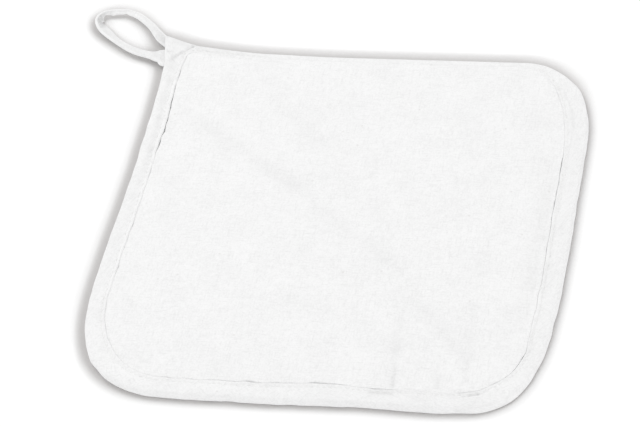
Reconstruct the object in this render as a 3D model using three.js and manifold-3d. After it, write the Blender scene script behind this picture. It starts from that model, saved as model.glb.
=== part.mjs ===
import * as THREE from 'three';
import { mergeVertices } from 'three/addons/utils/BufferGeometryUtils.js';
import Module from 'manifold-3d';

// A square padded pot holder of white cotton, bound with tape, with a hanging loop at one corner.
// Millimetres, +Z up. The origin is the middle of the square, on the face it lies on. The loop corner
// is at the back left, towards -X +Y, and the front edge is towards -Y.

// Clear space between one piece and the next
const GAP = 0.3;

// Binding tape: folded cloth over the rim, sewn down along its inner edge
const TAPE_THICKNESS = 1.2;
const RIM_HEIGHT = 5.2;
const FULL_BAND = 9;
const ROLL_RADIUS = 1.8;
const STITCH_INSET = 2;
const STITCH_DIP = 0.6;
const POCKET_DEPTH = 7;
const RIM_FOLD = 1.5;
const LIP_ROUND = 0.3;

// Pad: its edge lies in the fold of the tape, and it swells beside the seam up to a low crown
const EDGE_CLEARANCE = 0.6;
const SWELL_HEIGHT = 2.2;
const SWELL_REACH = 1.8;
const CROWN_HEIGHT = 1.7;
const CROWN_FULLNESS = 0.75;
const UNDER_LIP = 0.7;
const UNDER_FLAT = 2.2;
const SWELL_RINGS = [7, 3];

// Loop: a strip of the same tape, folded narrow
const LOOP_THICKNESS = 1.4;
const LOOP_CHAMFER = 0.4;
const LOOP_STEPS = 60;

// Stations along each of the four sides
const SIDE_STATIONS = 32;

// A cubic curve with handles of this share of the round is close to a quarter ellipse
const ROUND_HANDLE = 0.5523;

// The outline, anticlockwise from the loop corner. A row is one corner or kink: where its two sides
// would meet on the outer rim and on the sewn edge of the tape, and how far the round reaches back
// along the side before it and the side after it. The tape shows broad on three sides of the face,
// and narrow along the back, where most of it is turned under.
const CORNERS = [
  { at: 'tip', side: 'left',
    rim: [-105.1, 108.2], rimRound: [1.6, 1.6], seam: [-90.8, 96.2], seamRound: [2, 2] },
  { at: 'heel', side: 'left',
    rim: [-100.7, 88], rimRound: [4, 8], seam: [-92.3, 84], seamRound: [5, 8] },
  { at: 'waist', side: 'left',
    rim: [-98.4, 34], rimRound: [46, 60], seam: [-90.7, 34], seamRound: [36, 40] },
  { at: 'front_left', side: 'front',
    rim: [-101.3, -98.7], rimRound: [48, 40], seam: [-92.6, -90.4], seamRound: [44, 34] },
  { at: 'front_right', side: 'right',
    rim: [100.9, -96.1], rimRound: [31, 52], seam: [91.8, -88.4], seamRound: [26, 32] },
  { at: 'back_right', side: 'back',
    rim: [99.9, 98.7], rimRound: [44, 32], seam: [91, 95.2], seamRound: [56, 24] },
  { at: 'flare', side: 'back',
    rim: [-46, 97.2], rimRound: [30, 24], seam: [-46, 93.8], seamRound: [30, 20] },
  { at: 'shoulder', side: 'back',
    rim: [-89.5, 101.8], rimRound: [3, 3], seam: [-82, 97.2], seamRound: [10, 3] },
];
const SIDES = ['left', 'front', 'right', 'back'];

// Where the hand-sewn rim strays from that outline: a place on the rim, how far the stray reaches along
// it, and how far out it goes. A stray below zero goes in.
const RIM_STRAYS = [
  { near: [-99.6, -22], reach: 24, out: 1 },
  { near: [-99.2, -62], reach: 11, out: -0.4 },
  { near: [-91, -82], reach: 14, out: 0.5 },
  { near: [-72, -96.6], reach: 11, out: -0.4 },
  { near: [-45, -98], reach: 10, out: 0.4 },
  { near: [-14, -97.6], reach: 12, out: 0.4 },
  { near: [30, -97], reach: 16, out: -0.9 },
  { near: [71, -96.5], reach: 7, out: -1.4 },
  { near: [89.5, -84.5], reach: 11, out: 1.5 },
  { near: [100.3, -51], reach: 11, out: -0.9 },
  { near: [100.4, -5], reach: 18, out: 0.4 },
  { near: [99, 65], reach: 8, out: -0.4 },
  { near: [92.5, 82.5], reach: 8, out: 0.7 },
  { near: [-58, 98.4], reach: 9, out: -0.7 },
  { near: [-72, 99.8], reach: 9, out: -0.6 },
];

// The rolled rim of the tape, from below to above: shares of the roll's radius and of the rim's height
const RIM_ROLL = [
  { inward: 1, up: 0 },
  { inward: 0.25, up: 0.2 },
  { inward: 0, up: 0.46 },
  { inward: 0.3, up: 0.78 },
  { inward: 1, up: 0.94 },
];

// The sewn edge of the tape: shares of the stitching's inset from the seam, and of the dip that it pulls
const SEWN_EDGE = [
  { inset: 1.4, sunk: 0.3 },
  { inset: 1, sunk: 1 },
  { inset: 0.5, sunk: 0.4 },
];

// Creases and puckers of the face, each a soft trough along a line. A negative depth is a ridge.
const CREASES = [
  { name: 'long fold', from: [-82, 58], to: [-25, 18.4], depth: 0.9, width: 6 },
  { name: 'long fold, lower half', from: [-25, 18.4], to: [32, -27], depth: 0.8, width: 5 },
  { name: 'second fold', from: [-46, 70], to: [-12, 39], depth: 0.5, width: 7 },
  { name: 'low fold', from: [41, -43], to: [67, -71], depth: 0.9, width: 4 },
  { name: 'pucker', from: [36.8, -48], to: [39.3, -88], depth: 1, width: 3 },
  { name: 'ridge beside the pucker', from: [43.5, -60], to: [44.5, -86], depth: -0.4, width: 4 },
  { name: 'short pucker', from: [56.5, -74], to: [57.6, -86], depth: 0.7, width: 3 },
  { name: 'side pucker', from: [67.3, -50], to: [68, -82], depth: 0.6, width: 4 },
];

// The loop from its upper tucked end, round the far bend, to its lower tucked end: middle of the strip,
// its height, its width, and how far its outer edge leans up, in degrees
const LOOP_STATIONS = [
  { x: -101.2, y: 102.8, up: 2.6, width: 4.8, lean: 0 },
  { x: -106.8, y: 107.6, up: 2.7, width: 5, lean: 1 },
  { x: -109.4, y: 110.3, up: 2.9, width: 4.3, lean: 4 },
  { x: -113.2, y: 114.7, up: 3, width: 3.7, lean: 8 },
  { x: -120.2, y: 120.5, up: 3, width: 3.2, lean: 16 },
  { x: -124.1, y: 122.6, up: 2.9, width: 2.9, lean: 24 },
  { x: -127.7, y: 123.7, up: 2.8, width: 2.7, lean: 35 },
  { x: -134.5, y: 123.6, up: 2.6, width: 2.7, lean: 50 },
  { x: -137.5, y: 123, up: 2.5, width: 2.6, lean: 56 },
  { x: -139.4, y: 121.5, up: 2.4, width: 3, lean: 58 },
  { x: -140.2, y: 119.1, up: 2.3, width: 4, lean: 54 },
  { x: -139.7, y: 116.3, up: 2.3, width: 4.4, lean: 43 },
  { x: -137.4, y: 113.4, up: 2.4, width: 5.3, lean: 28 },
  { x: -134.5, y: 110.4, up: 2.5, width: 5, lean: 17 },
  { x: -127.1, y: 104.1, up: 2.7, width: 3.4, lean: 8 },
  { x: -117.6, y: 98.6, up: 2.8, width: 3.9, lean: 4 },
  { x: -109.6, y: 96.2, up: 2.8, width: 4.2, lean: 1.5 },
  { x: -106.6, y: 95.8, up: 2.7, width: 6.1, lean: 0.8 },
  { x: -104.4, y: 95.8, up: 2.6, width: 8.2, lean: 0.3 },
  { x: -101.4, y: 95.2, up: 2.6, width: 11, lean: 0.1 },
  { x: -98.2, y: 94.7, up: 2.6, width: 10.2, lean: 0 },
];

const wasm = await Module();
wasm.setup();

/** A closed mesh from points and triangle corners, with the points that coincide merged. */
function closedGeometry(points, triangles) {
  const geometry = new THREE.BufferGeometry();
  const places = points.flatMap((point) => point.toArray());
  geometry.setAttribute('position', new THREE.Float32BufferAttribute(places, 3));
  geometry.setIndex(triangles);
  return mergeVertices(geometry);
}

function solidFrom(geometry) {
  const vertProperties = geometry.attributes.position.array;
  const triVerts = new Uint32Array(geometry.index.array);
  return new wasm.Manifold(new wasm.Mesh({ numProp: 3, vertProperties, triVerts }));
}

function geometryFrom(solid) {
  const mesh = solid.getMesh();
  const geometry = new THREE.BufferGeometry();
  geometry.setAttribute('position', new THREE.BufferAttribute(mesh.vertProperties, 3));
  geometry.setIndex(new THREE.BufferAttribute(mesh.triVerts, 1));
  return geometry;
}

/** Triangles that join each ring of points to the next, and the last to the first where the skin closes. */
function skinTriangles(ringCount, ringSize, closes) {
  const triangles = [];
  const joins = closes ? ringCount : ringCount - 1;
  for (let ring = 0; ring < joins; ring += 1) {
    const here = ring * ringSize;
    const next = ((ring + 1) % ringCount) * ringSize;
    for (let spot = 0; spot < ringSize; spot += 1) {
      const beside = (spot + 1) % ringSize;
      triangles.push(here + spot, next + spot, next + beside);
      triangles.push(here + spot, next + beside, here + beside);
    }
  }
  return triangles;
}

/** A closed path through the corner rows with every corner rounded, and the place of each round's middle. */
function roundedPath(place, round) {
  const corners = CORNERS.map((row) => new THREE.Vector2(...row[place]));
  const rounds = corners.map((corner, row) => {
    const before = corners.at(row - 1);
    const after = corners[(row + 1) % corners.length];
    const [reachBack, reachOn] = CORNERS[row][round];
    const start = before.clone().sub(corner).setLength(reachBack).add(corner);
    const end = after.clone().sub(corner).setLength(reachOn).add(corner);
    const startHandle = start.clone().lerp(corner, ROUND_HANDLE);
    const endHandle = end.clone().lerp(corner, ROUND_HANDLE);
    return new THREE.CubicBezierCurve(start, startHandle, endHandle, end);
  });
  const path = new THREE.CurvePath();
  rounds.forEach((curve, row) => {
    path.add(curve);
    path.add(new THREE.LineCurve(curve.v3, rounds[(row + 1) % rounds.length].v0));
  });
  const reached = path.getCurveLengths();
  const total = path.getLength();
  const middles = rounds.map((curve, row) => (reached[2 * row] - curve.getLength() / 2) / total);
  return { path, middles };
}

/** The point of a rounded path at a share of the stretch from one corner's middle to the next one's. */
function pointOnStretch({ path, middles }, row, share) {
  const start = middles[row];
  const end = row + 1 < middles.length ? middles[row + 1] : middles[0] + 1;
  return path.getPoint((start + share * (end - start)) % 1);
}

function stretchLength({ path, middles }, row) {
  const end = row + 1 < middles.length ? middles[row + 1] : middles[0] + 1;
  return (end - middles[row]) * path.getLength();
}

/** How far out the rim strays at one point of its outline: the sum of the strays' bells. */
function rimStray(point) {
  let out = 0;
  for (const stray of RIM_STRAYS) {
    const away = point.distanceTo(new THREE.Vector2(...stray.near)) / stray.reach;
    out += stray.out * Math.exp(-away * away);
  }
  return out;
}

/** Stations round the rim: the rim point, the seam point, the way in from one to the other, and the band. */
function rimStations() {
  const rim = roundedPath('rim', 'rimRound');
  const seam = roundedPath('seam', 'seamRound');
  const stations = [];
  for (const side of SIDES) {
    const rows = CORNERS.flatMap((row, number) => (row.side === side ? [number] : []));
    const lengths = rows.map((row) => stretchLength(seam, row));
    const whole = lengths.reduce((sum, length) => sum + length, 0);
    for (let step = 0; step < SIDE_STATIONS; step += 1) {
      let along = (step / SIDE_STATIONS) * whole;
      let stretch = 0;
      while (stretch < rows.length - 1 && along > lengths[stretch]) {
        along -= lengths[stretch];
        stretch += 1;
      }
      const share = along / lengths[stretch];
      const rimPoint = pointOnStretch(rim, rows[stretch], share);
      const seamPoint = pointOnStretch(seam, rows[stretch], share);
      const inward = seamPoint.clone().sub(rimPoint).normalize();
      rimPoint.addScaledVector(inward, -rimStray(rimPoint));
      stations.push({ rimPoint, seamPoint, inward, band: rimPoint.distanceTo(seamPoint) });
    }
  }
  return stations;
}

/** How deep the fold of the tape reaches from the seam towards the rim. */
function pocketDepth(band) {
  return Math.min(POCKET_DEPTH, band - RIM_FOLD);
}

/** The folded tape in section, as pairs of distance in from the rim and height, round from its lower lip. */
function tapeSection(band) {
  const share = Math.min(1, band / FULL_BAND);
  const dip = STITCH_DIP * share;
  const underArm = RIM_HEIGHT - TAPE_THICKNESS - GAP;
  const foldEnd = band - pocketDepth(band);
  const foldMiddle = (underArm + TAPE_THICKNESS) / 2;
  const lipSide = band - LIP_ROUND / 2;
  const rolled = RIM_ROLL.map(({ inward, up }) => [inward * ROLL_RADIUS * share, up * RIM_HEIGHT]);
  const stitchInset = STITCH_INSET * share;
  const sewn = SEWN_EDGE.map(({ inset, sunk }) => [band - inset * stitchInset, RIM_HEIGHT - sunk * dip]);
  return [
    [band, LIP_ROUND],
    [band - LIP_ROUND, 0],
    ...rolled,
    [band / 2, RIM_HEIGHT],
    ...sewn,
    [band, RIM_HEIGHT - LIP_ROUND - dip],
    [lipSide, underArm],
    [foldEnd + EDGE_CLEARANCE, underArm],
    [foldEnd, foldMiddle],
    [foldEnd + EDGE_CLEARANCE, TAPE_THICKNESS],
    [lipSide, TAPE_THICKNESS],
    [band, TAPE_THICKNESS - LIP_ROUND],
  ];
}

function makeTape(stations) {
  const rings = stations.map(({ rimPoint, inward, band }) => tapeSection(band).map(([distance, up]) => {
    const place = rimPoint.clone().addScaledVector(inward, distance);
    return new THREE.Vector3(place.x, place.y, up);
  }));
  return closedGeometry(rings.flat(), skinTriangles(rings.length, rings[0].length, true));
}

/** Depth of all the creases at one place: each falls off as a bell with the distance from its line. */
function creaseDepth(place) {
  let depth = 0;
  for (const crease of CREASES) {
    const from = new THREE.Vector3(...crease.from, 0);
    const to = new THREE.Vector3(...crease.to, 0);
    const spot = new THREE.Vector3(place.x, place.y, 0);
    const nearest = new THREE.Line3(from, to).closestPointToPoint(spot, true, new THREE.Vector3());
    const away = nearest.distanceTo(spot) / crease.width;
    depth += crease.depth * Math.exp(-away * away);
  }
  return depth;
}

function swellAt(inset) {
  return SWELL_HEIGHT * (1 - Math.exp(-inset / SWELL_REACH));
}

/** The pad: its thin edge in the fold of the tape, its flat underside, and its swelling, creased face. */
function makePad(stations) {
  const edgeTop = RIM_HEIGHT - TAPE_THICKNESS - 2 * GAP;
  const edgeUnder = TAPE_THICKNESS + GAP;
  const ringAt = (insetOf, up, creased) => stations.map(({ seamPoint, inward, band }) => {
    const place = seamPoint.clone().addScaledVector(inward, insetOf(band));
    return new THREE.Vector3(place.x, place.y, up - (creased ? creaseDepth(place) : 0));
  });
  const edgeInset = (band) => EDGE_CLEARANCE - pocketDepth(band);
  const rings = [
    ...SWELL_RINGS.map((inset) => ringAt(() => inset, edgeTop + swellAt(inset), true)),
    ringAt(() => 0, edgeTop),
    ringAt(edgeInset, edgeTop),
    ringAt(edgeInset, edgeUnder),
    ringAt(() => UNDER_LIP, edgeUnder),
    ringAt(() => UNDER_FLAT, 0),
  ];
  const points = rings.flat();
  const triangles = skinTriangles(rings.length, stations.length, false);
  const underRing = (rings.length - 1) * stations.length;
  const underOutline = rings.at(-1).map((point) => new THREE.Vector2(point.x, point.y));
  for (const [a, b, c] of THREE.ShapeUtils.triangulateShape(underOutline, [])) {
    triangles.push(underRing + a, underRing + c, underRing + b);
  }
  const face = facePatch(rings[0], edgeTop);
  triangles.push(...face.triangles.map((corner) => corner + points.length));
  points.push(...face.points);
  return closedGeometry(points, triangles);
}

/** The middle of the face: a patch stretched between its four sides, raised to the crown and creased. */
function facePatch(border, edgeTop) {
  const count = SIDE_STATIONS;
  const onBorder = (number) => border[(number + border.length) % border.length];
  const left = (row) => onBorder(count - row);
  const front = (column) => onBorder(count + column);
  const right = (row) => onBorder(2 * count + row);
  const back = (column) => onBorder(-column);
  const span = right(count / 2).x - left(count / 2).x;
  const startInset = SWELL_RINGS[0];
  const points = [];
  const triangles = [];
  for (let row = 0; row <= count; row += 1) {
    const v = row / count;
    for (let column = 0; column <= count; column += 1) {
      const u = column / count;
      const point = new THREE.Vector3();
      point.addScaledVector(front(column), 1 - v).addScaledVector(back(column), v);
      point.addScaledVector(left(row), 1 - u).addScaledVector(right(row), u);
      point.addScaledVector(front(0), -(1 - u) * (1 - v)).addScaledVector(front(count), -u * (1 - v));
      point.addScaledVector(back(0), -(1 - u) * v).addScaledVector(back(count), -u * v);
      const inside = row > 0 && row < count && column > 0 && column < count;
      if (inside) {
        const fullness = 16 * u * (1 - u) * v * (1 - v);
        const swell = swellAt(startInset + span * fullness / 4);
        point.z = edgeTop + swell + CROWN_HEIGHT * fullness ** CROWN_FULLNESS - creaseDepth(point);
      }
      points.push(point);
      if (row < count && column < count) {
        const corner = row * (count + 1) + column;
        triangles.push(corner, corner + 1, corner + count + 2);
        triangles.push(corner, corner + count + 2, corner + count + 1);
      }
    }
  }
  return { points, triangles };
}

/** The loop strip along its stations, grown on every side by a margin. */
function makeStrip(margin) {
  const places = LOOP_STATIONS.map(({ x, y, up }) => new THREE.Vector3(x, y, up));
  const shapes = LOOP_STATIONS.map(({ width, lean }) => new THREE.Vector3(width, lean, 0));
  const middle = new THREE.CatmullRomCurve3(places);
  const shape = new THREE.CatmullRomCurve3(shapes);
  const rings = [];
  for (let step = 0; step <= LOOP_STEPS; step += 1) {
    const share = step / LOOP_STEPS;
    const centre = middle.getPoint(share);
    const { x: width, y: lean } = shape.getPoint(share);
    const ahead = middle.getTangent(share);
    const level = new THREE.Vector3(ahead.y, -ahead.x, 0).normalize();
    const tilt = THREE.MathUtils.degToRad(lean);
    const across = level.multiplyScalar(Math.cos(tilt)).add(new THREE.Vector3(0, 0, Math.sin(tilt)));
    const through = across.clone().cross(ahead).normalize();
    const halfWidth = width / 2 + margin;
    const halfThickness = LOOP_THICKNESS / 2 + margin;
    const section = [
      [halfWidth, LOOP_CHAMFER - halfThickness],
      [halfWidth, halfThickness - LOOP_CHAMFER],
      [halfWidth - LOOP_CHAMFER, halfThickness],
      [LOOP_CHAMFER - halfWidth, halfThickness],
      [-halfWidth, halfThickness - LOOP_CHAMFER],
      [-halfWidth, LOOP_CHAMFER - halfThickness],
      [LOOP_CHAMFER - halfWidth, -halfThickness],
      [halfWidth - LOOP_CHAMFER, -halfThickness],
    ];
    rings.push(section.map(([aside, above]) => (
      centre.clone().addScaledVector(across, aside).addScaledVector(through, above)
    )));
  }
  const ringSize = rings[0].length;
  const triangles = skinTriangles(rings.length, ringSize, false);
  const lastRing = (rings.length - 1) * ringSize;
  for (let spot = 1; spot < ringSize - 1; spot += 1) {
    triangles.push(0, spot, spot + 1);
    triangles.push(lastRing, lastRing + spot + 1, lastRing + spot);
  }
  return closedGeometry(rings.flat(), triangles);
}

const stations = rimStations();
const loop = makeStrip(0);
const slot = solidFrom(makeStrip(GAP));
const tape = geometryFrom(solidFrom(makeTape(stations)).subtract(slot));

function cotton(name, colour) {
  return new THREE.MeshStandardMaterial({ name, color: colour, roughness: 0.95, metalness: 0 });
}

function addPiece(group, name, geometry, material) {
  const mesh = new THREE.Mesh(geometry, material);
  mesh.name = name;
  group.add(mesh);
}

const potHolder = new THREE.Group();
addPiece(potHolder, 'pad', makePad(stations), cotton('padded cotton', 0xf3f3f1));
addPiece(potHolder, 'binding', tape, cotton('binding tape', 0xf0f0ee));
addPiece(potHolder, 'hanging_loop', loop, cotton('loop tape', 0xf0f0ee));

export default potHolder;
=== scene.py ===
import math
from types import SimpleNamespace

import bpy
import numpy as np
from numpy.linalg import norm
from mathutils import Matrix, Vector


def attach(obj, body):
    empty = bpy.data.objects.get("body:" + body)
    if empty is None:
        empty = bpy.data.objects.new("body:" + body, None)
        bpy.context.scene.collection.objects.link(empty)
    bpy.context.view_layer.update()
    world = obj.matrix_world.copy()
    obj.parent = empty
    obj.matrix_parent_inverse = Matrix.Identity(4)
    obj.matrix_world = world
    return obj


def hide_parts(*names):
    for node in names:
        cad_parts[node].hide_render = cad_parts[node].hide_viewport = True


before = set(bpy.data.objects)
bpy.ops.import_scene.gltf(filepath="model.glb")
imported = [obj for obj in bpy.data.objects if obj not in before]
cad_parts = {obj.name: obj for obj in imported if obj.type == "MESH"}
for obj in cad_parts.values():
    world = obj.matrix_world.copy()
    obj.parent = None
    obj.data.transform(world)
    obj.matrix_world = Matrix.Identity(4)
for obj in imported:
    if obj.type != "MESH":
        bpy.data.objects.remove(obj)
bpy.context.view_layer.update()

# A white cotton pot holder: a padded square, bound with bias tape, with a hanging loop at one corner.
# Lengths below are millimetres; meshes are made in metres.
MM = 0.001

# Binding tape
TAPE_THICKNESS = 1.2
RIM_HEIGHT = 5.2
FULL_BAND = 9.0
ROLL_RADIUS = 1.8
ROLL_FULLNESS = 0.8
STITCH_INSET = 2.0
STITCH_DIP = 0.24
STITCH_WIDTH = 1.0
UNDER_DIP = 0.4
POCKET_DEPTH = 7.0
RIM_FOLD = 1.5
LIP_ROUND = 0.3
CLEARANCE = 0.3
EDGE_CLEARANCE = 0.6
TAPE_SPACING = 0.5
RIM_DROP = 0.06
RISE_SHARE = 0.45
PUFF_POWER = 0.7
PUFF_WAVER = 0.14
DRAG_HEIGHT = 0.05
DRAG_SLANT = 0.25
STITCH_PULL = 0.2
PULL_WAVER = 0.3
RIDGE_HEIGHT = 0.14
RIDGE_INSET = 0.9
RIDGE_WIDTH = 0.55
FLUSH_LIP = 0.85
LIP_REACH = 0.35
LIP_LIFT = 0.35
LIP_FACE = 0.35
LIP_BACK = 0.05
ARM_ROUND = 0.25
FOOT_INSET = 0.15
RIM_WAVER = 0.12
SEAM_WAVER = 0.12
GAP_WAVER = 0.3
WIDEST_GAP = 1.2
STRAY_FROM, STRAY_TO = 3.0, 7.0
FLUSH_EASE_IN, FLUSH_EASE_OUT = 12.0, 5.0
STEP_FROM, STEP_TO, STEP_FADE = -0.2, 0.5, 5.0
MOUTH_LEVEL, MOUTH_HEIGHT = 2.6, 0.8
MOUTH_FROM, MOUTH_TO = 0.8, 1.15
UPPER_FROM, UPPER_TO = 3.6, 4.2
FOOT_POINTS, ROLL_POINTS = 11, 15
BAND_PLACES = np.concatenate([np.linspace(0, 0.55, 8), np.linspace(0.6, 0.985, 16), [1.0]])
INSIDE_PLACES = np.array([0.0, 0.3, 0.65, 1.0])
TURN_IN, TURN_UP = np.array([0.25, 0.0, 0.25]), np.array([3.2, 2.45, 1.7])
SEARCH_STEP = 0.25

# Pad
EDGE_TOP = RIM_HEIGHT - TAPE_THICKNESS - 2 * CLEARANCE
EDGE_UNDER = TAPE_THICKNESS + CLEARANCE
STEEP_SWELL = 1.5
GENTLE_SWELL = 0.7
FLUSH_SWELL = 0.26
GENTLE_REACH = 5.0
CROWN_HEIGHT = 1.7
CROWN_FULLNESS = 0.75
PAD_CELLS = 184
EVENING_ROUNDS = 80
FACE_SPAN = 190.0
LIP_CLEARANCE = 0.006
SWELL_REACH = 0.008
GAP_SWELL = 0.45
FLUSH_FADE = 1.5
BROAD_LUMPS = 0.20
SMALL_LUMPS = 0.09
GATHER_HEIGHT = 0.16
GATHER_PEAK = 1.2
FACE_FROM, FACE_TO = 0.2, 3.0
UNDER_FROM, UNDER_TO = 0.6, 2.3
EDGE_STEP = 0.1
EDGE_BULGE = 0.2
HOLLOW_DEPTH = 0.22
HOLLOW_RISE = 4
TOP_INSETS = (
    7, 6.2, 5.5, 4.8, 4.2, 3.6, 3.0, 2.5, 2.0, 1.6, 1.3, 1.05, 0.85, 0.68, 0.52, 0.4, 0.3, 0.22,
    0.16, 0.11, 0.075, 0.05, 0.03, 0.018, 0.009, -0.4, -0.9,
)
UNDER_INSETS = (0.7, 1.0, 1.3, 1.6, 1.9, 2.3, 3.2, 5.0, 7.0)

# Sewing thread
PITCH = 2.4
STITCH_START = 0.1 * PITCH
STITCH_LENGTH = 0.82 * PITCH
STITCH_SLIP = 0.12
SEWN_BAND = 5.2
UNDER_ROW = 0.3
THREAD_RADIUS = 0.11
THREAD_SINK = 0.25
THREAD_PROUD = 0.55
THREAD_TAPER = 0.3
THREAD_WRAP = 1.2
DIVE_POWER = 4
THREAD_SIDES = 8
THREAD_RINGS = 7
LOOP_PITCH = 2.1
LOOP_STITCH = 1.6
LOOP_THREAD = 0.13
LOOP_SINK = 0.3
LOOP_ROW_ASIDE = 0.3
LOOP_ROW_DIP = 0.1
LOOP_ROW_ENDS = 3
LOOP_ROW_POINTS = 400
TACK_SINK = 0.35

# Loop
LOOP_THICKNESS = 1.4
LOOP_RINGS = 260
LOOP_SECTION = 36
LOOP_LENGTH = 95
LOOP_LIFT = 0.05
LOOP_WAVER = 0.06
WAVER_ASIDE, TONE_ASIDE = 3, 2
SIDE_POWER, FACE_POWER = 0.55, 0.6
FACE_OVERLAP = 0.2
BEND_FROM, BEND_FULL, BEND_FADE, BEND_TO = 0.29, 0.36, 0.56, 0.66
CRUMPLE_FROM, CRUMPLE_FULL = 0.5, -0.6
# Painted shade on the loop's face: its waver, its darkest, and where it fades over the outer and inner beads
TONE_WAVER = 0.25
DARKEST_TONE = 6
OUTER_FADE, INNER_FADE = (0.85, 0.4), (-1.0, -0.7)

# The outline, anticlockwise from the loop corner: where the sides would meet on the rim, how far the
# round reaches along the side before and after, then the same for the sewn edge of the tape
ROUND_HANDLE = 0.5523
ROUND_STEPS = 40
OUTLINE = {
    "tip": (-105.1, 108.2, 1.6, 1.6, -90.8, 96.2, 2, 2),
    "heel": (-100.7, 88, 4, 8, -92.3, 84, 5, 8),
    "waist": (-98.4, 34, 46, 60, -90.7, 34, 36, 40),
    "front_left": (-101.3, -98.7, 48, 40, -92.6, -90.4, 44, 34),
    "front_right": (100.9, -96.1, 31, 52, 91.8, -88.4, 26, 32),
    "back_right": (99.9, 98.7, 44, 32, 91, 95.2, 56, 24),
    "flare": (-46, 97.2, 30, 24, -46, 93.8, 30, 20),
    "shoulder": (-89.5, 101.8, 3, 3, -82, 97.2, 10, 3),
}
SIDE_STARTS = ("tip", "front_left", "front_right", "back_right")

# Where the rim strays from the outline: a place on it, the reach of the stray along it, and how far out
RIM_STRAYS = (
    (-99.6, -22, 24, 1),
    (-99.2, -62, 11, -0.4),
    (-91, -82, 14, 0.5),
    (-72, -96.6, 11, -0.4),
    (-45, -98, 10, 0.4),
    (-14, -97.6, 12, 0.4),
    (30, -97, 16, -0.9),
    (71, -96.5, 7, -1.4),
    (89.5, -84.5, 11, 1.5),
    (100.3, -51, 11, -0.9),
    (100.4, -5, 18, 0.4),
    (99, 65, 8, -0.4),
    (92.5, 82.5, 8, 0.7),
    (-58, 98.4, 9, -0.7),
    (-72, 99.8, 9, -0.6),
)

# Where the sewn edge strays: a place on it, the reach of the stray along it, and how far in it goes
SEAM_STRAYS = (
    (-91.8, 84, 9, 0.35),
    (-91.4, 56, 16, 0.85),
    (-91.2, 10, 24, 0.5),
    (-36, -90, 26, -0.5),
    (4, -89.4, 9, 0.8),
    (17, -89.2, 7, 1.2),
    (33, -88.8, 5, -0.25),
    (76.5, -86.2, 6, 0.4),
    (87.5, -74.5, 11, -0.75),
    (91.4, -56, 8, 0.8),
    (91.5, -20, 16, -0.5),
)

# Where the tape's edge stands open from the pad: a place on the seam, reach along it, width of the gap
SEAM_GAPS = (
    (-91.6, 90, 4, 0.025),
    (-92, 83, 2.5, 0.11),
    (-92, 74, 2.5, 0.12),
    (-91.8, 68, 4, 0.08),
    (-91.6, 60, 7, 0.17),
    (-91.5, 52, 4, 0.07),
    (-91.4, 46.5, 2.5, 0.28),
    (-91.3, 38.5, 2.5, 0.28),
    (-91.2, 22, 2, 0.07),
    (-91.2, 8, 12, 0.008),
    (-91.4, -10, 2.5, 0.13),
    (-91.5, -19, 4, 0.018),
    (-91.7, -34, 2.5, 0.08),
    (-91.5, -54, 2.5, 0.03),
    (-89.5, -63, 4, 0.02),
    (-62.5, -89.7, 3, 0.04),
    (-56, -90.1, 3, 0.12),
    (-46, -90, 5, 0.09),
    (-31, -89.8, 6, 0.13),
    (-20.5, -89.7, 2.5, 0.36),
    (-8, -89.6, 8, 0.13),
    (-0.5, -89.6, 2, 0.12),
    (8, -89.5, 3, 0.40),
    (14, -89.4, 4.5, 0.16),
    (21, -89.3, 3, 0.12),
    (31, -89.3, 4, 0.12),
    (37.2, -89.2, 3, 0.36),
    (67.5, -88.9, 2, 0.06),
    (72, -88.2, 4, 0.13),
    (78.5, -85, 2.5, 0.07),
    (84, -80, 4.5, 0.17),
    (89.3, -71, 4.5, 0.27),
    (91.8, -40, 12, 0.025),
    (91.8, -27, 6, 0.03),
    (91.7, -11, 8, 0.07),
    (91.6, 6, 6, 0.09),
    (91.5, 15, 2.5, 0.20),
    (91.5, 24, 5, 0.16),
    (91.4, 37, 4.5, 0.23),
)

# The stretch of the seam, along the back, where the tape is turned under and the face runs flush to it
FLUSH_FROM, FLUSH_TO = (84, 80), (-91, 95.2)

# Creases of the face: a line from one place to another, depth of the trough, its width, how much darker
# the cloth looks along it as painted shade, and the width of that
CREASES = (
    (-82, 58, -25, 18.4, 0.9, 6, 0.5, 3.6),
    (-25, 18.4, 32, -27, 0.8, 5, 0.4, 3.2),
    (-46, 70, -12, 39, 0.5, 7, 0.35, 4.5),
    (41, -43, 67, -71, 0.9, 4, 0.6, 2.8),
    (36.8, -48, 37.6, -69, 0.9, 3, 0.6, 1.7),
    (37.6, -69, 39.3, -88, 1, 3, 0.6, 1.4),
    (38.6, -78, 39.3, -88, 0.2, 0.8, 1.3, 0.5),
    (43.5, -60, 44.5, -86, -0.4, 4, 0, 1),
    (48.9, -76, 48.3, -87, 0.3, 2.5, 0.4, 1.4),
    (56.5, -76, 57.6, -86, 0.6, 3, 0.6, 1.5),
    (67.3, -50, 67.8, -76, 0.6, 4, 0.4, 2.2),
    (68.2, -76, 68.6, -83, 0.4, 1.5, 0.8, 0.9),
    (72, -58.5, 89, -54.8, 0.3, 2.5, 0.35, 1.4),
    # A shallow trough whose broad painted shade darkens the right of the face
    (87, -50, 87, 38, 0.05, 4, 0.35, 4),
    (-84.9, 96.2, -65.2, 93.5, 0.1, 0.8, 0.6, 0.6),
    (-65.2, 93.5, -42, 91.6, 0.1, 0.8, 0.5, 0.6),
)

# Folds of the tape on the corner nose: a line, depth of the trough, its width, and the step up beside it.
# The depth of a fold also darkens the tape there as painted shade.
NOSE_FOLDS = (
    (-89.2, 100.5, -97.5, 92.3, 0.5, 0.4, 0.3),
    (-100.8, 96.9, -98.4, 96.9, 0.35, 0.4, 0),
    (-103, 107, -96, 99.5, 0.15, 1.2, 0),
)
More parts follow.
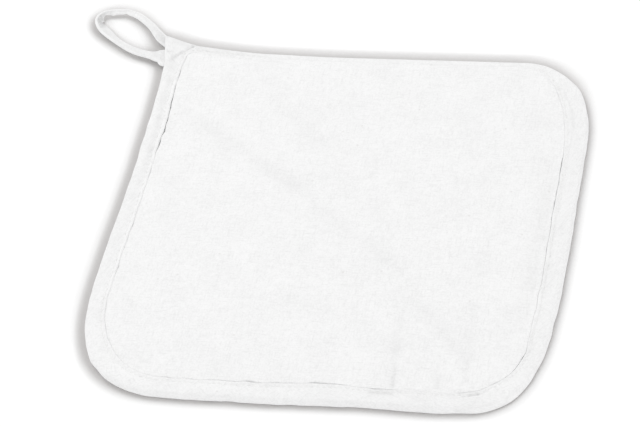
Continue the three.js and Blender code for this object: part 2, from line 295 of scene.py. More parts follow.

# Dents and ridges of the tape along its stitches: a line, depth of the dent, its width, and how much darker
# it looks as painted shade. A ridge has a depth and a tone below zero, which is painted highlight.
TAPE_DENTS = (
    (-97.4, 94, -95.6, 78, 0.05, 1.5, 0.75),
    (-95.6, 78, -94.5, 55, 0.08, 1.6, 0.95),
    (-94.5, 55, -93.9, 35, 0.10, 1.6, 1.35),
    (-93.9, 35, -94, 15, 0.08, 1.4, 0.65),
    (-94, 15, -94.8, -25, 0.05, 1.3, 0.4),
    # Ridges beside the seam on the left, lighter by painted highlight
    (-93.3, 91, -93, 75, -0.05, 0.5, -0.7),
    (-93, 75, -92.8, 56, -0.05, 0.5, -0.9),
    (-92.2, 54, -92.2, -5, -0.05, 0.5, -0.7),
    (-92.4, -5, -93, -45, -0.05, 0.6, -1),
    (91.6, -62, 93.5, -45, 0.05, 0.45, 0.7),
    (93.5, -45, 93.5, 36, 0.05, 0.45, 0.8),
    # Painted shade along the tape's lip at the front seam, where the crack would be dark
    (31, -89.55, 39.4, -89.1, 0.1, 0.35, 2.6),
    (30.5, -91.2, 39.8, -91, 0.4, 0.75, 1.8),
    (69, -90.3, 71.5, -89.5, 0.3, 0.5, 1),
    (71.5, -89.5, 75, -88.4, 0.5, 0.6, 2.2),
    (75, -88.4, 78.5, -86.6, 0.2, 0.35, 0.8),
    (86.6, 80.2, 91.2, 70.1, 0.15, 0.45, 1),
    (91.2, 70.1, 93.2, 60, 0.15, 0.45, 1),
    (93.2, 60, 93.4, 36, 0.12, 0.45, 0.8),
)

# Where the loop goes in at the rim: a place on the rim, reach along it, and depth of the mouth
LOOP_MOUTHS = ((-103.9, 105, 4, 2.4), (-101.9, 95, 6.2, 2.4))

# The loop from its upper end round the far bend to its lower end: middle, height, width, outer edge's lean
LOOP_STATIONS = np.array((
    (-101.2, 102.8, 2.6, 4.8, 0),
    (-106.8, 107.6, 2.7, 5, 1),
    (-109.4, 110.3, 2.9, 4.3, 4),
    (-113.2, 114.7, 3, 3.7, 8),
    (-120.2, 120.5, 3, 3.2, 16),
    (-124.1, 122.6, 2.9, 2.9, 24),
    (-127.7, 123.7, 2.8, 2.7, 35),
    (-134.5, 123.6, 2.6, 2.7, 50),
    (-137.5, 123, 2.5, 2.6, 56),
    (-139.4, 121.5, 2.4, 3, 58),
    (-140.2, 119.1, 2.3, 4, 54),
    (-139.7, 116.3, 2.3, 4.4, 43),
    (-137.4, 113.4, 2.4, 5.3, 28),
    (-134.5, 110.4, 2.5, 5, 17),
    (-127.1, 104.1, 2.7, 3.4, 8),
    (-117.6, 98.6, 2.8, 3.9, 4),
    (-109.6, 96.2, 2.8, 4.2, 1.5),
    (-106.6, 95.8, 2.7, 6.1, 0.8),
    (-104.4, 95.8, 2.6, 8.2, 0.3),
    (-101.4, 95.2, 2.6, 11, 0.1),
    (-98.2, 94.7, 2.6, 10.2, 0),
))

# Relief across the loop's face: place from -1 at its inner edge to 1 at its outer one, reach, and height
LOOP_BEADS = ((0.72, 0.2, 0.12), (-0.75, 0.2, 0.08), (0, 0.4, -0.10))

# Crumples of the far bend: waves in the loop's whole length, height, slant across the strip, and start
LOOP_CRUMPLES = ((13, 0.18, 1.5, 0), (29, 0.10, 0, 0.7))

# Tacks that hold the loop's ends: from one place to another, and the height of both
TACKS = np.array((
    (-103.6, 92.3, -102.6, 92.6, 3.35),
    (-100.8, 96.9, -98.4, 96.9, 5),
    (-100.4, 103.4, -99.2, 101.4, 5.05),
))

# Scallops of the loop's inner edge at the far bend: share of the way round, reach, how far the edge comes in
LOOP_SCALLOPS = (
    (0.300, 0.012, -0.5),
    (0.352, 0.014, 0.3),
    (0.425, 0.026, -0.7),
    (0.488, 0.016, 0.8),
    (0.525, 0.010, -0.35),
)

# How much darker the loop's face looks as painted shade: share of the way round, and the tone there
LOOP_PAINTED_SHADE = np.array((
    (0.00, 3), (0.05, 2.8), (0.10, 1.4), (0.15, 1), (0.20, 0.1),
    (0.33, 0), (0.40, 0.6), (0.43, 2), (0.47, 3.4), (0.51, 4.8),
    (0.56, 6.2), (0.585, 3.4), (0.62, 2), (0.70, 1), (1.00, 0.9),
))

UP = np.array([0.0, 0.0, 1.0])


def unit(arrows):
    """Each arrow divided by its own length."""
    return arrows / norm(arrows, axis=-1, keepdims=True)


def ease(low, high, values):
    """0 below low, 1 above high, and the smooth cubic 3t^2 - 2t^3 between them."""
    t = np.clip((values - low) / (high - low), 0, 1)
    return t * t * (3 - 2 * t)


def bell(ratio):
    """1 where the ratio of a distance to its reach is 0, falling away on both sides as exp(-ratio^2)."""
    return np.exp(-(ratio**2))


def ripple(x, y, length, seed, waves=24):
    """Unevenness of hand-sewn cloth: a sum of plane waves, each about one length long, with its own
    bearing and start, scaled so that its spread is one."""
    shortest, longest = 0.7, 1.6
    rng = np.random.default_rng(seed)
    bearing = rng.uniform(0, 2 * np.pi, waves)
    rate = 2 * np.pi / (length * rng.uniform(shortest, longest, waves))
    start = rng.uniform(0, 2 * np.pi, waves)
    across = np.multiply.outer(x, rate * np.cos(bearing))
    along = np.multiply.outer(y, rate * np.sin(bearing))
    return np.cos(across + along + start).sum(-1) * math.sqrt(2 / waves)


def run_along(line):
    """Running length at each point of a line, from 0 at its first."""
    return np.concatenate([[0], norm(np.diff(line, axis=0), axis=1).cumsum()])


def round_section(points):
    """Running length round each closed section, from 0 at its first point to the whole way round."""
    closed = np.hstack([points, points[:, :1]])
    run = norm(np.diff(closed, axis=1), axis=2).cumsum(axis=1)
    return np.hstack([np.zeros((len(points), 1)), run])


def signed_power(values, power):
    """The size of each value to a power, with the value's own sign."""
    return np.sign(values) * np.abs(values) ** power


def to_line(x, y, x0, y0, x1, y1):
    """Distance of each place from a line between two points, and its signed distance to the line's left."""
    dx, dy = x1 - x0, y1 - y0
    span = dx * dx + dy * dy
    t = np.clip(((x - x0) * dx + (y - y0) * dy) / span, 0, 1)
    away = np.hypot(x - x0 - t * dx, y - y0 - t * dy)
    left = ((y - y0) * dx - (x - x0) * dy) / math.sqrt(span)
    return away, left


def creases(x, y):
    """Depth of the face's creases, each a bell across its line, and the painted shade along them, a narrower
    bell.
    """
    depth, dark = np.zeros_like(x), np.zeros_like(x)
    for x0, y0, x1, y1, deep, wide, tone, tone_wide in CREASES:
        away, _ = to_line(x, y, x0, y0, x1, y1)
        depth += deep * bell(away / wide)
        dark += tone * bell(away / tone_wide)
    return depth, dark


def rounded_line(corner, reach):
    """A closed line through the corners: each is rounded by one cubic from a point on the side before it
    to a point on the side after it, and straight pieces join the rounds. Returns its points, the running
    length, and the length at the middle of each round."""
    before = unit(np.roll(corner, 1, axis=0) - corner)
    after = unit(np.roll(corner, -1, axis=0) - corner)
    start = corner + before * reach[:, :1]
    end = corner + after * reach[:, 1:]
    near_start = start + (corner - start) * ROUND_HANDLE
    near_end = end + (corner - end) * ROUND_HANDLE
    t = np.linspace(0, 1, ROUND_STEPS)[None, :, None]
    curve = (1 - t) ** 3 * start[:, None] + 3 * (1 - t) ** 2 * t * near_start[:, None]
    curve = curve + 3 * (1 - t) * t**2 * near_end[:, None] + t**3 * end[:, None]
    line = np.concatenate([curve.reshape(-1, 2), curve[0, :1]])
    run = run_along(line)
    of_round = run[:-1].reshape(len(corner), ROUND_STEPS)
    return line, run, (of_round[:, 0] + of_round[:, -1]) / 2


def on_line(line, run, place):
    """Points of a closed line at the given running lengths."""
    place = np.mod(place, run[-1])
    return np.stack([np.interp(place, run, line[:, 0]), np.interp(place, run, line[:, 1])], axis=-1)


outline = np.array(list(OUTLINE.values()))
rim_line, rim_run, rim_middle = rounded_line(outline[:, 0:2], outline[:, 2:4])
seam_line, seam_run, seam_middle = rounded_line(outline[:, 4:6], outline[:, 6:8])
rim_rows = np.append(rim_middle, rim_middle[0] + rim_run[-1])
seam_rows = np.append(seam_middle, seam_middle[0] + seam_run[-1])
side_rows = [list(OUTLINE).index(name) for name in SIDE_STARTS] + [len(OUTLINE)]
SEAM_LENGTH = seam_run[-1]
fine_run = np.arange(0, SEAM_LENGTH, SEARCH_STEP)
fine_seam = on_line(seam_line, seam_run, fine_run)


def nearest_on_seam(x, y):
    """Running length of the seam where it is nearest a place."""
    return fine_run[np.hypot(fine_seam[:, 0] - x, fine_seam[:, 1] - y).argmin()]


def flush_along(place):
    """1 along the back of the seam, where the face runs flush to the tape, eased to 0 past both ends."""
    run = np.mod(place - nearest_on_seam(*FLUSH_FROM), SEAM_LENGTH)
    length = np.mod(nearest_on_seam(*FLUSH_TO) - nearest_on_seam(*FLUSH_FROM), SEAM_LENGTH)
    return ease(0, FLUSH_EASE_IN, run) * (1 - ease(length - FLUSH_EASE_OUT, length, run))


def bells_along(place, table):
    """Sum over the table's rows of a bell along the seam, centred where the seam is nearest the row's
    place."""
    total = np.zeros_like(place)
    for x, y, reach, amount in table:
        centre = nearest_on_seam(x, y)
        away = np.mod(place - centre + SEAM_LENGTH / 2, SEAM_LENGTH) - SEAM_LENGTH / 2
        total += amount * bell(away / reach)
    return total


def stations(place):
    """Stations of the binding at running lengths of the seam: rim point, seam point with its strays, the
    way in from one to the other, the band between them, its share of a full band, and the seam's gap."""
    rim = on_line(rim_line, rim_run, np.interp(place, seam_rows, rim_rows))
    seam = on_line(seam_line, seam_run, place)
    inward = unit(seam - rim)
    for x, y, reach, out in RIM_STRAYS:
        away = np.hypot(rim[:, 0] - x, rim[:, 1] - y)
        rim = rim - inward * (out * bell(away / reach))[:, None]
    uneven = SEAM_WAVER * ripple(*seam.T, length=9, seed=3)
    broad = np.clip((norm(seam - rim, axis=1) - STRAY_FROM) / (STRAY_TO - STRAY_FROM), 0, 1)
    seam = seam + inward * ((bells_along(place, SEAM_STRAYS) + uneven) * broad)[:, None]
    band = norm(seam - rim, axis=1)
    frayed = 1 + GAP_WAVER * ripple(*seam.T, length=4, seed=5)
    gap = bells_along(place, SEAM_GAPS) * frayed
    return SimpleNamespace(
        place=place, rim=rim, seam=seam, inward=inward, band=band, share=np.minimum(1, band / FULL_BAND),
        gap=np.clip(gap, 0, WIDEST_GAP), flush=flush_along(place),
        pocket=np.minimum(POCKET_DEPTH, band - RIM_FOLD),
    )


def side_places(count):
    """Running lengths of the seam at an even count of stations on each of the four sides."""
    ends = seam_rows[side_rows]
    return np.concatenate([np.linspace(a, b, count, endpoint=False) for a, b in zip(ends[:-1], ends[1:])])


def in_from_rim(s, inset):
    """The two coordinates of places at distances in from the rim."""
    return s.rim[:, :1] + s.inward[:, :1] * inset, s.rim[:, 1:] + s.inward[:, 1:] * inset


def tape_top(s, inset):
    """Height of the tape's upper face at a distance in from the rim: a puffed band that rises from the
    rolled rim to full height, less a dip along the stitches, with a low ridge between them and the lip,
    drag lines on the bias, and the folds of the corner nose."""
    share, band = s.share[:, None], s.band[:, None]
    roll = ROLL_RADIUS * share
    t = np.clip((inset - roll) / (band - roll), 0, 1)
    x, y = in_from_rim(s, inset)
    from_lip = band - inset
    from_row = from_lip - STITCH_INSET * share
    height = RIM_HEIGHT * (1 - RIM_DROP * (1 - np.minimum(t / RISE_SHARE, 1)) ** 2)
    beat = STITCH_PULL * np.cos(2 * np.pi * s.place / PITCH)[:, None]
    pull = 1 + beat + PULL_WAVER * ripple(x, y, length=8, seed=11)
    sewn = share * (1 - s.flush[:, None])
    height = height - STITCH_DIP * sewn * pull * bell(from_row / STITCH_WIDTH)
    height = height + RIDGE_HEIGHT * sewn * bell((from_lip - RIDGE_INSET * share) / RIDGE_WIDTH)
    height = height - LIP_ROUND * (1 - FLUSH_LIP * s.flush[:, None]) * (1 - ease(0, LIP_REACH, from_lip))
    puff = share * np.sin(np.pi * t) ** PUFF_POWER
    drag = ripple(s.place[:, None] + inset, DRAG_SLANT * inset, length=5, seed=17)
    height = height + puff * (PUFF_WAVER * ripple(x, y, length=7, seed=13) + DRAG_HEIGHT * drag)
    lift = LIP_LIFT * s.gap[:, None] * (1 - ease(0, STITCH_INSET, from_lip))
    return height + lift - nose_folds(x, y) - tape_dents(x, y)[0]


def nose_folds(x, y):
    """Depth of the folds on the corner nose: a narrow bell across each line, and a step that is eased up
    on its left side and dies away a few millimetres from it."""
    depth = np.zeros_like(x)
    for x0, y0, x1, y1, deep, wide, step in NOSE_FOLDS:
        away, left = to_line(x, y, x0, y0, x1, y1)
        depth += deep * bell(away / wide)
        depth -= step * ease(STEP_FROM, STEP_TO, -left) * bell(away / STEP_FADE)
    return depth


def tape_dents(x, y):
    """Depth of the tape's dents and ridges, each a bell across its line, and their tone, the same bell:
    painted shade in the dents and painted highlight on the ridges.
    """
    depth, dark = np.zeros_like(x), np.zeros_like(x)
    for x0, y0, x1, y1, deep, wide, tone in TAPE_DENTS:
        away, _ = to_line(x, y, x0, y0, x1, y1)
        near = bell(away / wide)
        depth += deep * near
        dark += tone * near
    return depth, dark


def tape_section(s):
    """The tape's section at every station as (distance in, height), closed: along the lower face, round
    the rolled rim as a superellipse, along the upper face, and back inside the fold."""
    share, band = s.share[:, None], s.band[:, None]
    roll = ROLL_RADIUS * share
    ones = np.ones_like(band)
    lower_in = band - FOOT_INSET - (band - FOOT_INSET - roll) * np.linspace(0, 1, FOOT_POINTS)
    lower_row = (band - lower_in) - STITCH_INSET * share
    lower_up = UNDER_DIP * share * bell(lower_row / STITCH_WIDTH)
    angle = np.radians(np.linspace(-90, 90, ROLL_POINTS)[1:-1])
    rim_in = roll * (1 - np.cos(angle) ** ROLL_FULLNESS)
    rim_up = RIM_HEIGHT * (1 - RIM_DROP) * (1 + np.sin(angle)) / 2 * ones
    rim_x, rim_y = in_from_rim(s, rim_in)
    rim_in = rim_in - RIM_WAVER * ripple(rim_x, rim_y, length=10, seed=19) * np.cos(angle)
    for x, y, reach, deep in LOOP_MOUTHS:
        beside = np.hypot(s.rim[:, 0] - x, s.rim[:, 1] - y)[:, None]
        slit = bell((rim_up - MOUTH_LEVEL) / MOUTH_HEIGHT)
        rim_in = rim_in + deep * slit * (1 - ease(MOUTH_FROM * reach, MOUTH_TO * reach, beside))
    upper_in = roll + (band - roll) * BAND_PLACES
    upper_up = tape_top(s, upper_in)
    lift = LIP_LIFT * s.gap[:, None]
    under_arm = RIM_HEIGHT - TAPE_THICKNESS - CLEARANCE
    fold_end = band - s.pocket[:, None]
    arm_end, turn_start = band - ARM_ROUND, fold_end + EDGE_CLEARANCE
    lip_in = np.hstack([band, band - LIP_BACK])
    lip_up = np.hstack([upper_up[:, -1:] - LIP_FACE, under_arm + ARM_ROUND + lift])
    arm_in = arm_end - (arm_end - turn_start) * INSIDE_PLACES
    arm_up = under_arm + lift * (1 - ease(0, STITCH_INSET, band - arm_in))
    turn_in = fold_end + EDGE_CLEARANCE * TURN_IN
    turn_up = TURN_UP * ones
    foot_in = turn_start + (arm_end - turn_start) * INSIDE_PLACES
    foot_up = TAPE_THICKNESS * np.ones_like(foot_in)
    end_in = np.hstack([band, band])
    end_up = np.array([TAPE_THICKNESS - LIP_ROUND, LIP_ROUND]) * ones
    inset = np.hstack([lower_in, rim_in, upper_in, lip_in, arm_in, turn_in, foot_in, end_in])
    height = np.hstack([lower_up, rim_up, upper_up, lip_up, arm_up, turn_up, foot_up, end_up])
    return inset, height


def ring_quads(ring_count, ring_size, closes):
    """Corner numbers of the quads between rings of points, each ring closed, with its last ring joined to
    the first where the skin closes on itself."""
    rings = np.arange(ring_count if closes else ring_count - 1)[:, None]
    spots = np.arange(ring_size)[None, :]
    following, beside = (rings + 1) % ring_count, (spots + 1) % ring_size
    corners = [rings * ring_size + spots, following * ring_size + spots]
    corners += [following * ring_size + beside, rings * ring_size + beside]
    return np.stack([c + 0 * spots for c in corners], axis=-1).reshape(-1, 4)


def ring_uv(u, v):
    """Corner places on the cloth for the same quads, from grids that hold one more row and column."""
    uv = np.stack([u, v], axis=-1) * MM
    return np.stack([uv[:-1, :-1], uv[1:, :-1], uv[1:, 1:], uv[:-1, 1:]], axis=2).reshape(-1, 4, 2)


def put(name, data):
    """A new object in the scene."""
    made = bpy.data.objects.new(name, data)
    bpy.context.scene.collection.objects.link(made)
    return made


def make_piece(name, points, quads, caps=None, uv=None, shade=None):
    """A closed mesh in metres from points in millimetres, quads and end caps; where its signed volume is
    negative the corners are taken the other way round, so that faces point outwards. Shade is how much
    painted shade darkens the cloth at each point; below zero it is a painted highlight."""
    a, b, c, d = (points[quads[:, k]] for k in range(4))
    volume = (a * np.cross(b, c)).sum() + (a * np.cross(c, d)).sum()
    turned = -1 if volume < 0 else 1
    faces = quads[:, ::turned].tolist()
    if caps is not None:
        faces += caps[:, ::turned].tolist()
    mesh = bpy.data.meshes.new(name)
    mesh.from_pydata((points * MM).tolist(), [], faces)
    mesh.polygons.foreach_set("use_smooth", np.ones(len(faces), bool))
    if uv is not None:
        flat = uv[:, ::turned].reshape(-1, 2)
        rest = np.zeros((0 if caps is None else caps.size, 2))
        layer = mesh.uv_layers.new(name="cloth")
        layer.uv.foreach_set("vector", np.concatenate([flat, rest]).astype(np.float32).ravel())
    if shade is not None:
        tone = mesh.attributes.new("shade", "FLOAT", "POINT")
        tone.data.foreach_set("value", shade.astype(np.float32).ravel())
    mesh.update()
    piece = put(name, mesh)
    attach(piece, "root")
    return piece


def make_binding():
    """The tape carried round the rim: at each station its section is laid from the rim point inwards."""
    count = int(round(SEAM_LENGTH / TAPE_SPACING))
    s = stations(seam_rows[0] + np.arange(count) * SEAM_LENGTH / count)
    inset, height = tape_section(s)
    x, y = in_from_rim(s, inset)
    points = np.stack([x, y, np.maximum(height, 0)], axis=-1)
    # Painted shade on the tape's upper face from the depth of the nose folds and the dents' tone; a tone
    # below zero is painted highlight on the ridges
    dark = np.maximum(0, nose_folds(x, y)) + tape_dents(x, y)[1]
    shade = dark * ease(UPPER_FROM, UPPER_TO, height)
    run = round_section(points)
    run = np.concatenate([run, run[:1]])
    along = np.arange(count + 1)[:, None] * SEAM_LENGTH / count + 0 * run
    quads = ring_quads(count, points.shape[1], True)
    return make_piece("binding_cloth", points.reshape(-1, 3), quads, uv=ring_uv(along, run), shade=shade)


def pad_swell(inset, s):
    """Height of the pad above its sewn edge: a steep rise beside the lip of the tape, which starts where
    the seam's gap ends, and a gentle one further in. Along the back it rises higher, over the lip."""
    reach = SWELL_REACH + GAP_SWELL * s.gap
    rise = STEEP_SWELL + FLUSH_SWELL * s.flush * (1 - ease(FLUSH_FADE, TOP_INSETS[0], inset))
    steep = rise * (1 - np.exp(-np.maximum(inset - LIP_CLEARANCE - s.gap, 0) / reach))
    return steep + GENTLE_SWELL * (1 - np.exp(-np.maximum(inset, 0) / GENTLE_REACH))


def lumps(x, y):
    """Unevenness of the wadding under the cloth: broad and small ripples."""
    broad, small = ripple(x, y, length=34, seed=23), ripple(x, y, length=13, seed=29)
    return BROAD_LUMPS * broad + SMALL_LUMPS * small


def pad_rings(s):
    """Rings of the pad from the border of its face, out over the swell, round its edge in the fold of the
    tape and in again underneath to the border of the underside."""
    edge = EDGE_CLEARANCE - s.pocket
    rings, dark = [], []
    for inset in TOP_INSETS:
        here = np.maximum(inset, edge + EDGE_STEP)
        plan = s.seam + s.inward * here[:, None]
        x, y = plan.T
        inside = ease(FACE_FROM, FACE_TO, here)
        gather = GATHER_HEIGHT * s.share * ripple(s.place, 0 * x, length=6.5, seed=31)
        gather = gather * ease(0, GATHER_PEAK, here) * (1 - ease(GATHER_PEAK, TOP_INSETS[0], here))
        trough, tone = creases(x, y)
        up = EDGE_TOP + pad_swell(here, s) + gather + inside * (lumps(x, y) - trough)
        rings.append(np.column_stack([plan, up]))
        # Painted shade along the creases, faded in from the seam
        dark.append(inside * tone)
    middle = (EDGE_TOP + EDGE_UNDER) / 2
    for inset, up in ((edge, EDGE_TOP), (edge - EDGE_BULGE, middle), (edge, EDGE_UNDER)):
        rings.append(np.column_stack([s.seam + s.inward * inset[:, None], np.full(len(edge), up)]))
    for inset in UNDER_INSETS:
        up = EDGE_UNDER * (1 - ease(UNDER_FROM, UNDER_TO, inset))
        rings.append(np.column_stack([s.seam + s.inward * inset, np.full(len(edge), up)]))
    dark += [np.zeros(len(edge))] * (len(rings) - len(dark))
    return np.stack(rings), np.stack(dark)


def patch(border):
    """A patch between four sides: the sum of the two straight blends between facing sides, less the blend
    of the four corners. Each inner place then goes to the middle of its four neighbours, round by round,
    so that no cell folds over at a rounded corner. Returns the places and the two parameters."""
    n = PAD_CELLS
    steps = np.arange(n + 1)
    front, back = border[n + steps], border[-steps % (4 * n)]
    left, right = border[(n - steps) % (4 * n)], border[2 * n + steps]
    u, v = np.meshgrid(steps / n, steps / n)
    a, b = u[..., None], v[..., None]
    plan = front[None] * (1 - b) + back[None] * b + left[:, None] * (1 - a) + right[:, None] * a
    plan = plan - front[0] * (1 - a) * (1 - b) - front[-1] * a * (1 - b)
    plan = plan - back[0] * (1 - a) * b - back[-1] * a * b
    for _ in range(EVENING_ROUNDS):
        beside = plan[1:-1, :-2] + plan[1:-1, 2:]
        plan[1:-1, 1:-1] = (plan[:-2, 1:-1] + plan[2:, 1:-1] + beside) / 4
    return plan, u, v


def patch_corners(ring_start, inner_start):
    """Point numbers over a patch: its border takes the numbers of a ring, its inside new ones."""
    n = PAD_CELLS
    steps = np.arange(n + 1)
    number = np.empty((n + 1, n + 1), int)
    number[1:-1, 1:-1] = inner_start + np.arange((n - 1) ** 2).reshape(n - 1, n - 1)
    number[0], number[-1] = ring_start + n + steps, ring_start + (-steps) % (4 * n)
    number[:, 0], number[:, -1] = ring_start + (n - steps) % (4 * n), ring_start + 2 * n + steps
    corners = [number[:-1, :-1], number[:-1, 1:], number[1:, 1:], number[1:, :-1]]
    return np.stack(corners, axis=-1).reshape(-1, 4)


def make_pad():
    """The padded square: rings round its edge, a face patch raised by the swell and by a crown of
    (16 u (1-u) v (1-v)) to a power, less the creases, and an underside patch with shallow hollows."""
    s = stations(side_places(PAD_CELLS))
    rings, ring_dark = pad_rings(s)
    face, u, v = patch(rings[0, :, :2])
    x, y = face[..., 0], face[..., 1]
    fullness = 16 * u * (1 - u) * v * (1 - v)
    deep = TOP_INSETS[0] + FACE_SPAN * fullness / 4
    swell = STEEP_SWELL + GENTLE_SWELL * (1 - np.exp(-deep / GENTLE_REACH))
    trough, dark = creases(x, y)
    up = EDGE_TOP + swell + CROWN_HEIGHT * fullness**CROWN_FULLNESS + lumps(x, y) - trough
    under, _, _ = patch(rings[-1, :, :2])
    hollow = HOLLOW_DEPTH * np.maximum(0, ripple(under[..., 0], under[..., 1], length=30, seed=37))
    hollow = hollow * np.minimum(1, HOLLOW_RISE * fullness)
    ring_points = rings.reshape(-1, 3)
    face_points = np.dstack([face, up])[1:-1, 1:-1].reshape(-1, 3)
    under_points = np.dstack([under, hollow])[1:-1, 1:-1].reshape(-1, 3)
    points = np.concatenate([ring_points, face_points, under_points])
    last_ring = (len(rings) - 1) * len(s.place)
    face_quads = patch_corners(0, len(ring_points))
    under_quads = patch_corners(last_ring, len(ring_points) + len(face_points))
    quads = np.concatenate([ring_quads(len(rings), len(s.place), False), face_quads, under_quads[:, ::-1]])
    # Painted shade along the creases on the face and its outer rings; none underneath
    shade = np.concatenate([ring_dark.ravel(), dark[1:-1, 1:-1].ravel(), np.zeros(len(under_points))])
    return make_piece("pad_cover", points, quads, shade=shade)


def smooth_through(knots, share):
    """Points at shares of the way along a smooth line through the knots: a cubic between each pair whose
    slopes are those of the uneven three-point rule, with the root of the spacing as the step."""
    ends = np.concatenate([[2 * knots[0] - knots[1]], knots, [2 * knots[-1] - knots[-2]]])
    step = np.sqrt(norm(np.diff(ends, axis=0), axis=1))[:, None]
    spot = np.clip(share, 0, 1) * (len(knots) - 1)
    row = np.minimum(spot.astype(int), len(knots) - 2)
    t = (spot - row)[:, None]
    p0, p1, p2, p3 = (ends[row + k] for k in range(4))
    d0, d1, d2 = (step[row + k] for k in range(3))
    leave = ((p1 - p0) / d0 - (p2 - p0) / (d0 + d1) + (p2 - p1) / d1) * d1
    reach = ((p2 - p1) / d1 - (p3 - p1) / (d1 + d2) + (p3 - p2) / d2) * d1
    square = 3 * (p2 - p1) - 2 * leave - reach
    cube = 2 * (p1 - p2) + leave + reach
    return p1 + leave * t + square * t**2 + cube * t**3


def loop_frame(share):
    """Middle of the loop strip at shares of its length, the ways across and up through it, and its width.
    Across lies level and square to the strip, and leans up at its outer edge."""
    nudge = 1e-4
    middles, shapes = LOOP_STATIONS[:, :3], LOOP_STATIONS[:, 3:]
    middle, shape = smooth_through(middles, share), smooth_through(shapes, share)
    ahead = unit(smooth_through(middles, share + nudge) - smooth_through(middles, share - nudge))
    level = unit(np.column_stack([ahead[:, 1], -ahead[:, 0], 0 * share]))
    lean = np.radians(shape[:, 1:])
    across = level * np.cos(lean) + UP * np.sin(lean)
    return middle, across, unit(np.cross(across, ahead)), shape[:, 0]


def loop_face(share, aside):
    """Relief of the loop's upper face, aside from -1 at its inner edge to 1 at its outer one: a folded bead
    on each edge, a hollow between them, and crumples across the inner half of the far bend."""
    relief = LOOP_WAVER * ripple(share * LOOP_LENGTH, aside * WAVER_ASIDE, length=6, seed=41)
    for place, reach, height in LOOP_BEADS:
        relief = relief + height * bell((aside - place) / reach)
    bend = ease(BEND_FROM, BEND_FULL, share) * (1 - ease(BEND_FADE, BEND_TO, share))
    crumpled = bend * ease(CRUMPLE_FROM, CRUMPLE_FULL, aside)
    for waves, height, slant, start in LOOP_CRUMPLES:
        relief = relief + crumpled * height * np.sin(2 * np.pi * share * waves + slant * aside + start)
    return relief


def make_loop():
    """The loop strip: a rounded-box section, a power of the circle, carried along its middle line, with the
    relief of its upper face and the scallops of its inner edge; the ends are capped."""
    share = np.linspace(0, 1, LOOP_RINGS)
    middle, across, through, width = loop_frame(share)
    turn = np.linspace(0, 2 * np.pi, LOOP_SECTION, endpoint=False)[None, :]
    aside = signed_power(np.cos(turn), SIDE_POWER) + 0 * share[:, None]
    above = signed_power(np.sin(turn), FACE_POWER) + 0 * share[:, None]
    half = width[:, None] / 2
    scallop = np.zeros_like(share)
    for centre, reach, amount in LOOP_SCALLOPS:
        scallop += amount * bell((share - centre) / reach)
    out = aside * half - scallop[:, None] * np.clip(-aside, 0, 1) ** 2
    on_face = np.clip(above + FACE_OVERLAP, 0, 1)
    rise = above * LOOP_THICKNESS / 2 + loop_face(share[:, None], aside) * on_face
    points = middle[:, None] + across[:, None] * out[..., None] + through[:, None] * rise[..., None]
    points[..., 2] = np.maximum(points[..., 2], LOOP_LIFT)
    v = round_section(points)
    spots = np.arange(LOOP_SECTION)
    caps = np.stack([spots, (LOOP_RINGS - 1) * LOOP_SECTION + spots[::-1]])
    quads = ring_quads(LOOP_RINGS, LOOP_SECTION, False)
    uv = ring_uv(run_along(middle)[:, None] + 0 * v, v)
    # Painted shade on the loop's face: darkest on the inner face of the far bend and near the roots, faded
    # out over both beads, which stay lighter
    tone = np.interp(share, LOOP_PAINTED_SHADE[:, 0], LOOP_PAINTED_SHADE[:, 1])[:, None]
    cloth = share[:, None] * LOOP_LENGTH, aside * TONE_ASIDE
    uneven = 1 + TONE_WAVER * ripple(*cloth, length=5, seed=47)
    between_beads = ease(*OUTER_FADE, aside) * ease(*INNER_FADE, aside)
    shade = np.clip(tone * uneven * between_beads, 0, DARKEST_TONE)
    return make_piece("loop_cloth", points.reshape(-1, 3), quads, caps=caps, uv=uv, shade=shade)


def make_stitches(name, start, end, up, radius=THREAD_RADIUS, sink=THREAD_SINK):
    """Stitches of thread from start to end points: each is a tube whose middle lies proud by part of its
    radius and whose ends, by a high power of the distance from the middle, dive into the cloth."""
    sides, rings = THREAD_SIDES, THREAD_RINGS
    t = np.linspace(0, 1, rings)[None, :, None]
    span = end - start
    dive = np.abs(2 * t - 1) ** DIVE_POWER
    proud = radius * THREAD_PROUD - sink * dive
    middle = start[:, None] + span[:, None] * t + up[:, None] * proud
    slim = radius * (1 - THREAD_TAPER * dive)
    aside = unit(np.cross(up, span))[:, None, None]
    turn = np.linspace(0, 2 * np.pi, sides, endpoint=False)[None, None, :, None]
    tube = middle[:, :, None] + slim[..., None] * (aside * np.cos(turn) + up[:, None, None] * np.sin(turn))
    count, size = len(start), rings * sides
    first = (np.arange(count) * size)[:, None, None]
    quads = (ring_quads(rings, sides, False)[None] + first).reshape(-1, 4)
    ends = np.stack([np.arange(sides)[::-1], size - sides + np.arange(sides)])
    caps = (ends[None] + first).reshape(-1, sides)
    u = np.linspace(0, PITCH, rings)[:, None] + np.zeros((1, sides + 1))
    v = np.linspace(0, THREAD_WRAP, sides + 1)[None, :] + np.zeros((rings, 1))
    uv = np.tile(ring_uv(u, v), (count, 1, 1))
    return make_piece(name, tube.reshape(-1, 3), quads, caps=caps[:, ::-1], uv=uv)


def row_points(place, under=False):
    """Points of the stitch row on the tape at running lengths of the seam, above or underneath."""
    s = stations(place)
    inset = (s.band - STITCH_INSET * s.share)[:, None]
    up = np.full_like(inset, UNDER_ROW) if under else tape_top(s, inset)
    return np.column_stack([s.rim + s.inward * inset, up])


def make_seam_rows():
    """The row of stitches along the tape, above where its band is broad, and underneath all the way."""
    count = int(SEAM_LENGTH / PITCH)
    begin = seam_rows[0] + np.arange(count) * SEAM_LENGTH / count + STITCH_START
    finish = begin + STITCH_LENGTH
    broad = stations(begin).band > SEWN_BAND
    slip = np.random.default_rng(43).uniform(-STITCH_SLIP, STITCH_SLIP, count)
    above, below = np.tile(UP, (broad.sum(), 1)), np.tile(-UP, (count, 1))
    start, end = row_points((begin + slip)[broad]), row_points((finish + slip)[broad])
    face_row = make_stitches("seam_stitches", start, end, above)
    under_row = make_stitches("underside_stitches", row_points(begin, True), row_points(finish, True), below)
    return face_row, under_row


